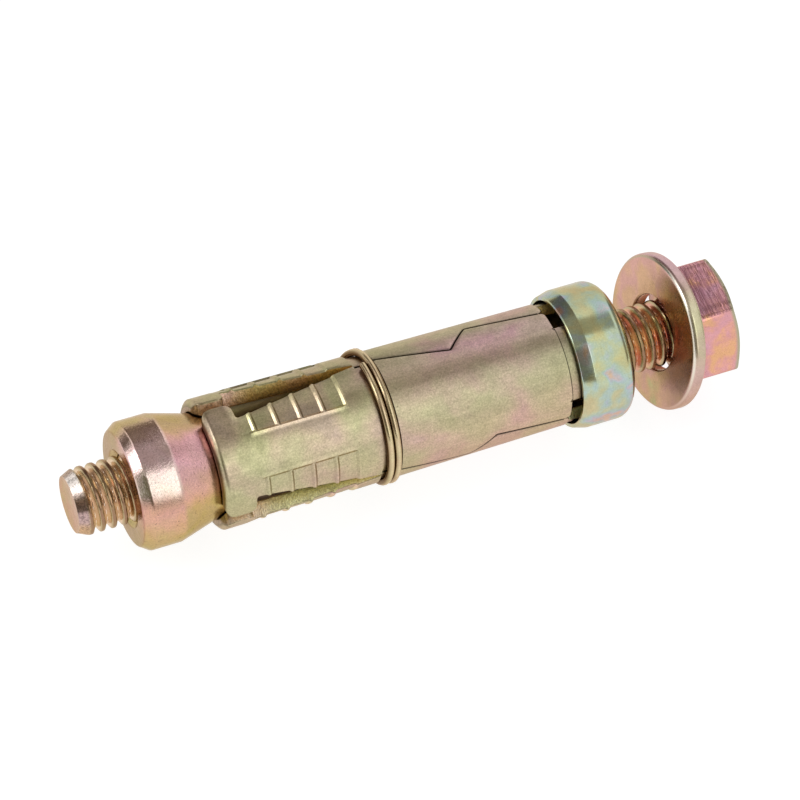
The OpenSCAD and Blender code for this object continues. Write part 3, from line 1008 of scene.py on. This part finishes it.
def flat_grid(outline):
    """Grid points inside a segment's outline, with lines along every step of its surface."""
    half = GRID_STEPS * GRID_SPACING
    walls = [-WALL_HALF, -WALL_HALF / 2, 0, WALL_HALF / 2, WALL_HALF]
    across = [-WALL_HALF - BURR_WIDTH, -WALL_HALF - BURR_EDGE] + walls
    across = [side * (BAND_HALF + off) for side in (-1, 1) for off in across]
    along = surface_steps() + [LIP_BEVEL * k for k in (0.3, 0.5, 0.75, 1.0)]
    x_lines = thinned(np.arange(-half, half + 0.01, GRID_SPACING), across)
    y_lines = thinned(np.arange(GRID_SPACING, SHIELD_END - SHIELD_START, GRID_SPACING), along)
    grid = np.stack(np.meshgrid(x_lines, y_lines), -1).reshape(-1, 2)
    return grid[inside(grid, outline, GRID_MARGIN)]


def bent(flat, radius, middle):
    """Flat points rolled to a radius round the bolt, round an angle."""
    return place(SHIELD_START + flat[:, 1], radius, middle - np.degrees(flat[:, 0] / FLAT_R))


def flat_sheet(outline, normals):
    """Points and triangles of a flattened segment's surface, and its rim's place in them."""
    rim = outline - normals * EDGE_ROUND
    count = len(rim)
    loops = [(i, (i + 1) % count) for i in range(count)]
    given = [Vector(p) for p in np.concatenate([rim, flat_grid(rim)])]
    made = delaunay_2d_cdt(given, loops, [list(range(count))], 1, 1e-6, True)
    points, _, faces, points_from, _, faces_from = made
    triangles = [tuple(face) for face, source in zip(faces, faces_from) if source]
    place_of = {source: i for i, sources in enumerate(points_from) for source in sources}
    return np.array([tuple(p) for p in points]), triangles, [place_of[i] for i in range(count)]


def edge_rings(outline, normals, middle):
    """Rings round a segment's edge: a rounding outside, the sheared wall and a rounding inside."""
    turns = [math.radians(a) for a in (30, 60, 90)]
    rounding = [(outline - normals * EDGE_ROUND * (1 - math.sin(a)), EDGE_ROUND * (1 - math.cos(a)))
                for a in turns]
    outside = [bent(at, outer_surface(*at.T) - depth, middle) for at, depth in rounding]
    inside_first = [bent(at, inner_surface(at[:, 1]) + depth, middle) for at, depth in rounding]
    return outside + inside_first[::-1]


def edge_shades(outline):
    """Painted shade of the strips round a segment's edge: dark in the closed seam and at the lip."""
    in_seam = (outline[:, 1] > GROOVE_AT) & (outline[:, 1] < SHOULDER_AT - SHOULDER_ROUND)
    in_lip = outline[:, 1] < LIP_BEVEL
    return [(SEAM_SHADE * in_seam + LIP_SHADE * in_lip) * share for share in EDGE_SHARES]


def make_segments(skin, edge):
    """The three pressed segments, rolled from one flat shape with rounded, sheared edges."""
    outline = segment_outline()
    normals = outward_normals(outline)
    flat, triangles, rim = flat_sheet(outline, normals)
    centres = flat[np.array(triangles)].mean(1)
    # Painted shade and highlights of the outer faces, then painted shade inside and round the edges
    outer_shade = surface_shade(*centres.T)
    inner_shade = np.full(len(triangles), INNER_SHADE)
    shade = np.concatenate([outer_shade, inner_shade] + edge_shades(outline))

    count, base = len(rim), len(flat)
    faces = triangles + [tuple(base + i for i in reversed(t)) for t in triangles]
    slots = [0] * len(faces)
    strips = [rim] + [list(range(2 * base + k * count, 2 * base + (k + 1) * count)) for k in range(6)]
    strips.append([base + i for i in rim])
    for k, (a, b) in enumerate(zip(strips, strips[1:])):
        faces += [(a[i], a[(i + 1) % count], b[(i + 1) % count], b[i]) for i in range(count)]
        slots += [1 if k in SHEARED else 0] * count

    for name, middle in MIDDLES.items():
        outer = bent(flat, outer_surface(*flat.T), middle)
        inner = bent(flat, inner_surface(flat[:, 1]), middle)
        points = np.concatenate([outer, inner] + edge_rings(outline, normals, middle))
        piece = fill_mesh(name + "_skin", points, faces, [skin, edge], slots, crease=28)
        paint(piece, "shade", shade, "FACE")
        dress(piece, name, name)


def wire_path(turned_by):
    """Station, radius and angle of the spring's wire after it has turned by some degrees."""
    across = smoothstep(WIRE_STEP_AT, WIRE_STEP_AT + WIRE_STEP_ANGLE, turned_by)
    radius = shield_r(GROOVE_AT) - GROOVE_DEPTH + WIRE_CLEARANCE + WIRE_R
    return RING_START + WIRE_R + WIRE_PITCH * across, radius, WIRE_START - turned_by


def wire_arc(first, last, thin_first, thin_last):
    """Tube along part of the spring, thinner where it slides inside its neighbour across a seam."""
    low = first - WIRE_OVERLAP * thin_first
    high = last + WIRE_OVERLAP * thin_last
    slack = 0.2
    at = np.linspace(low, high, max(8, round((high - low) / WIRE_SPACING)))
    thin = (at < first - slack) | (at > last + slack)
    wire = WIRE_R * (1 - WIRE_THINNED * thin)
    dome = [(WIRE_DOME * (1 - k), math.sin(math.acos(1 - max(k, WIRE_TIP))))
            for k in (0, 0.35, 0.7, 0.92)]
    rows = [(at[0] - back, wire[0] * share) for back, share in dome]
    rows += list(zip(at, wire))
    rows += [(at[-1] + back, wire[-1] * share) for back, share in dome[::-1]]
    around = np.arange(WIRE_SIDES) * 2 * math.pi / WIRE_SIDES
    points = []
    for turned_by, wire_r in rows:
        station, ring_r, angle = wire_path(turned_by)
        points.append(place(station + wire_r * np.sin(around), ring_r + wire_r * np.cos(around), angle))
    return np.concatenate(points), tube_faces(len(rows), WIRE_SIDES)


def make_spring():
    """Double wire ring in three pieces, which spread with the segments."""
    metal = wire_metal()
    first_seam = WIRE_START - MIDDLES["segment_near"] + SEGMENT_TURN / 2
    cuts = [0] + [first_seam + SEGMENT_TURN * k for k in range(5)] + [WIRE_ANGLE]
    bodies = ["segment_near", "segment_under", "segment_far"]
    # Share round the wire that faces outwards, for the painted highlight and shade
    crown = np.clip(np.cos(np.arange(WIRE_SIDES) * 2 * math.pi / WIRE_SIDES), 0, 1)
    for index, body in enumerate(bodies):
        points, faces = [], []
        for k in (index, index + len(bodies)):
            arc, quads = wire_arc(cuts[k], cuts[k + 1], k > 0, k < 5)
            faces += [tuple(len(points) + i for i in f) for f in quads]
            points += list(arc)
        name = body.replace("segment", "spring")
        piece = fill_mesh(name, points, faces, [metal], crease=50)
        paint(piece, "crown", np.tile(crown, len(points) // WIRE_SIDES))
        dress(piece, body, "spring_ring")


# Floor, light and camera

def seen(tree):
    """Output that is 1 for rays from the camera and from reflections, 0 for those that light."""
    rays = add_node(tree, "LightPath").outputs
    either = rays["Is Camera Ray"]
    for kind in ("Is Glossy Ray", "Is Transmission Ray"):
        either = add_node(tree, "Math", {0: either, 1: rays[kind]}, operation="MAXIMUM").outputs[0]
    return either


def floor_white():
    """Pale surface that the camera and reflections see near white, with the shadow kept."""
    material = bpy.data.materials.new("floor_white")
    tree = cleared_nodes(material)
    plain, dimmed = [
        add_node(tree, "BsdfDiffuse", {"Color": grey(level)}).outputs[0]
        for level in (FLOOR_PLAIN, FLOOR_DIMMED)
    ]
    glow = add_node(tree, "Emission", {"Strength": FLOOR_GLOW}).outputs[0]
    glowing = add_node(tree, "AddShader", {0: dimmed, 1: glow}).outputs[0]
    both = add_node(tree, "MixShader", {0: seen(tree), 1: plain, 2: glowing})
    add_node(tree, "OutputMaterial", {"Surface": both.outputs[0]})
    return material


def new_object(name, points, faces, material):
    """Object of plain faces in the scene, for what stands round the anchor."""
    mesh = bpy.data.meshes.new(name)
    mesh.from_pydata(points, [], faces)
    mesh.materials.append(material)
    return in_scene(name, mesh)


def make_floor():
    """Plain floor at the height on which the anchor lies."""
    corners = [(-1, -1), (1, -1), (1, 1), (-1, 1)]
    points = [(x * FLOOR_HALF, y * FLOOR_HALF, 0) for x, y in corners]
    floor = new_object("floor", points, [(0, 1, 2, 3)], floor_white())


def round_axis(distance, angle, x):
    """Point at a distance from the anchor's axis, at an angle round it."""
    a = math.radians(angle)
    return (x, -distance * math.cos(a), AXIS_Z + distance * math.sin(a))


def make_card(name, distance, angles, along, colour):
    """Curved dark card round the anchor's axis that only reflections see."""
    steps = 12
    points = [round_axis(distance, angle, x) for angle in np.linspace(*angles, steps + 1) for x in along]
    faces = [(2 * k, 2 * k + 1, 2 * k + 3, 2 * k + 2) for k in range(steps)]
    material = bpy.data.materials.new(name)
    tree = cleared_nodes(material)
    glow = add_node(tree, "Emission", {"Color": colour}).outputs[0]
    add_node(tree, "OutputMaterial", {"Surface": glow})
    card = new_object(name, points, faces, material)
    card.visible_camera = False
    card.visible_diffuse = False
    card.visible_shadow = False
    card.visible_transmission = False


def make_softbox(name, distance, angle, x, size, toward_x, brightness):
    """Area lamp round the anchor's axis that the camera doesn't see."""
    lamp = bpy.data.lights.new(name, "AREA")
    lamp.shape = "RECTANGLE"
    lamp.size, lamp.size_y = size
    lamp.energy = brightness * math.pi * size[0] * size[1]
    centre = round_axis(distance, angle, x)
    back = (Vector(centre) - Vector((toward_x, 0, AXIS_Z))).normalized()
    right = Vector((0, 0, 1)).cross(back).normalized()
    facing = Matrix((right, back.cross(right), back)).transposed()
    box = in_scene(name, lamp)
    box.matrix_world = Matrix.Translation(centre) @ facing.to_4x4()
    box.visible_camera = False


def make_world():
    """White for rays that are seen, and a softer light for those that fill."""
    scene = bpy.context.scene
    scene.world = bpy.data.worlds.new("studio")
    tree = cleared_nodes(scene.world)
    fill, white = [
        add_node(tree, "Background", {"Color": grey(1), "Strength": strength}).outputs[0]
        for strength in (FILL_LIGHT, 1.0)
    ]
    mix = add_node(tree, "MixShader", {0: seen(tree), 1: fill, 2: white}).outputs[0]
    add_node(tree, "OutputWorld", {"Surface": mix})
    scene.view_settings.view_transform = "Standard"


def make_light():
    """Two lamps, and dark cards that shape what the metal reflects."""
    for name, softbox in SOFTBOXES.items():
        make_softbox(name, *softbox)
    for name, card in CARDS.items():
        make_card(name, *card)


def make_camera():
    """Camera at the photo's place, aimed beside the middle of the bolt."""
    azimuth, elevation = math.radians(-23.22), math.radians(42.97)
    distance = 0.3424
    aim_station, aim_right, aim_up = 30 * MM, 0.090 * MM, 0.694 * MM
    focal_px, image_px = 3991.7, 800
    flat = math.cos(elevation)
    back = Vector((math.sin(azimuth) * flat, -math.cos(azimuth) * flat, math.sin(elevation)))
    right = Vector((math.cos(azimuth), math.sin(azimuth), 0))
    up = back.cross(right)
    aim = Vector((TIP_X + aim_station, 0, AXIS_Z)) + right * aim_right + up * aim_up
    data = bpy.data.cameras.new("camera")
    data.sensor_width = 36
    data.lens = focal_px / image_px * data.sensor_width
    data.clip_start, data.clip_end = 0.01, 20
    camera = in_scene("camera", data)
    turn = Matrix((right, up, back)).transposed()
    camera.matrix_world = Matrix.Translation(aim + back * distance) @ turn.to_4x4()
    bpy.context.scene.camera = camera


make_camera()
make_world()
make_light()
make_floor()
make_bolt()
make_nut()
make_cap()
make_washer()
make_segments(shield_metal(), sheared_metal())
make_spring()
